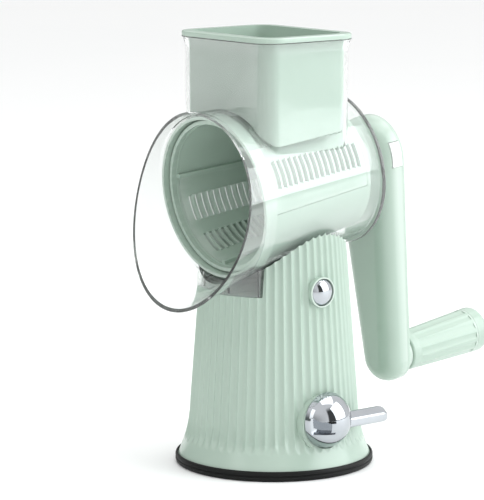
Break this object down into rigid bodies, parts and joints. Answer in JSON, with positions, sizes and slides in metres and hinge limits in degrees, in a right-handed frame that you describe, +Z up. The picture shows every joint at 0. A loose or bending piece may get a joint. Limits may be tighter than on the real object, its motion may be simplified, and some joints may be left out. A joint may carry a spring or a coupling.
{
  "type": "rotary cheese grater",
  "caption": "Hand-cranked drum grater: fluted tower on a suction base, clear barrel with hopper and flared outlet, slotted drum, pusher and crank.",
  "frame": {"origin": "on the table, at the centre of the base ring under the tower's axis", "axes": "+Z up, outlet of the barrel towards -Y, crank towards +Y, suction lever and lock button on the +X side"},
  "size_m": [0.1428, 0.2788, 0.2956],
  "materials": {
    "mint_abs": "gloss moulded ABS",
    "inner_abs": "as-moulded ABS",
    "white_abs": "gloss moulded ABS",
    "acetal": "satin acetal",
    "clear_san": "polished clear plastic",
    "black_rubber": "satin",
    "chrome": "polished plating",
    "zinc_steel": "zinc plated",
    "spring_steel": "drawn wire"
  },
  "bodies": {
    "base": {"tower_shell": "mint_abs", "base_ring": "black_rubber", "bottom_plate": "inner_abs", "plate_screws": "zinc_steel", "lever_bush": "acetal", "button_bezel": "mint_abs", "lock_spring": "spring_steel", "lift_spring": "spring_steel"},
    "suction_lever": {"suction_knob": "chrome", "lever_blade": "chrome", "lever_shaft": "zinc_steel", "shaft_clip": "zinc_steel", "lift_cam": "acetal"},
    "suction_lift": {"pull_yoke": "acetal", "suction_pad": "black_rubber"},
    "lock": {"lock_button": "chrome", "button_stem": "inner_abs"},
    "barrel": {"clear_housing": "clear_san", "foot_catch": "acetal", "barrel_bush": "acetal"},
    "pusher": {"pusher": "mint_abs"},
    "drum": {"drum_cage": "mint_abs", "blade_plate_a": "mint_abs", "blade_plate_b": "mint_abs", "drum_spindle": "zinc_steel"},
    "crank": {"crank_arm": "mint_abs", "crank_cover": "mint_abs", "cover_screws": "zinc_steel", "release_spring": "spring_steel", "grip_pin": "zinc_steel", "grip_collar": "mint_abs"},
    "release": {"release_button": "white_abs", "release_catch": "zinc_steel"},
    "grip": {"grip_body": "mint_abs", "grip_cap": "mint_abs"}
  },
  "joints": [
    {"name": "lever_turn", "type": "hinge", "parent": "base", "child": "suction_lever", "pos_m": [0.055, -0.003, 0.0382], "axis": [1, 0, 0], "range_deg": [0, 180]},
    {"name": "pad_lift", "type": "slide", "parent": "base", "child": "suction_lift", "axis": [0, 0, 1], "range_m": [0, 0.004], "deforming": ["lift_spring"]},
    {"name": "lock_press", "type": "slide", "parent": "base", "child": "lock", "axis": [-1, 0, 0], "range_m": [0, 0.0026], "stiffness_N_per_m": 1200, "springref_m": -0.001, "deforming": ["lock_spring"]},
    {"name": "barrel_lift", "type": "slide", "parent": "base", "child": "barrel", "axis": [0, 0, 1], "range_m": [0, 0.06], "deforming": ["foot_catch"]},
    {"name": "pusher_lift", "type": "slide", "parent": "barrel", "child": "pusher", "axis": [0, 0, 1], "range_m": [0, 0.075]},
    {"name": "drum_spin", "type": "hinge", "parent": "barrel", "child": "drum", "pos_m": [0, 0, 0.1933], "axis": [0, 0.9925, 0.1219], "continuous": true},
    {"name": "crank_pull", "type": "slide", "parent": "drum", "child": "crank", "axis": [0, 0.9925, 0.1219], "range_m": [0, 0.024], "deforming": ["release_catch"]},
    {"name": "release_press", "type": "slide", "parent": "crank", "child": "release", "axis": [-1, 0, 0], "range_m": [0, 0.0022], "stiffness_N_per_m": 900, "springref_m": -0.001, "deforming": ["release_spring"]},
    {"name": "grip_spin", "type": "hinge", "parent": "crank", "child": "grip", "pos_m": [0, 0.14681, 0.06433], "axis": [0, 0.9925, 0.1219], "continuous": true}
  ],
  "couplings": [
    {"joint": "lever_turn", "follows": "pad_lift", "rad_per_m": 785.4}
  ]
}
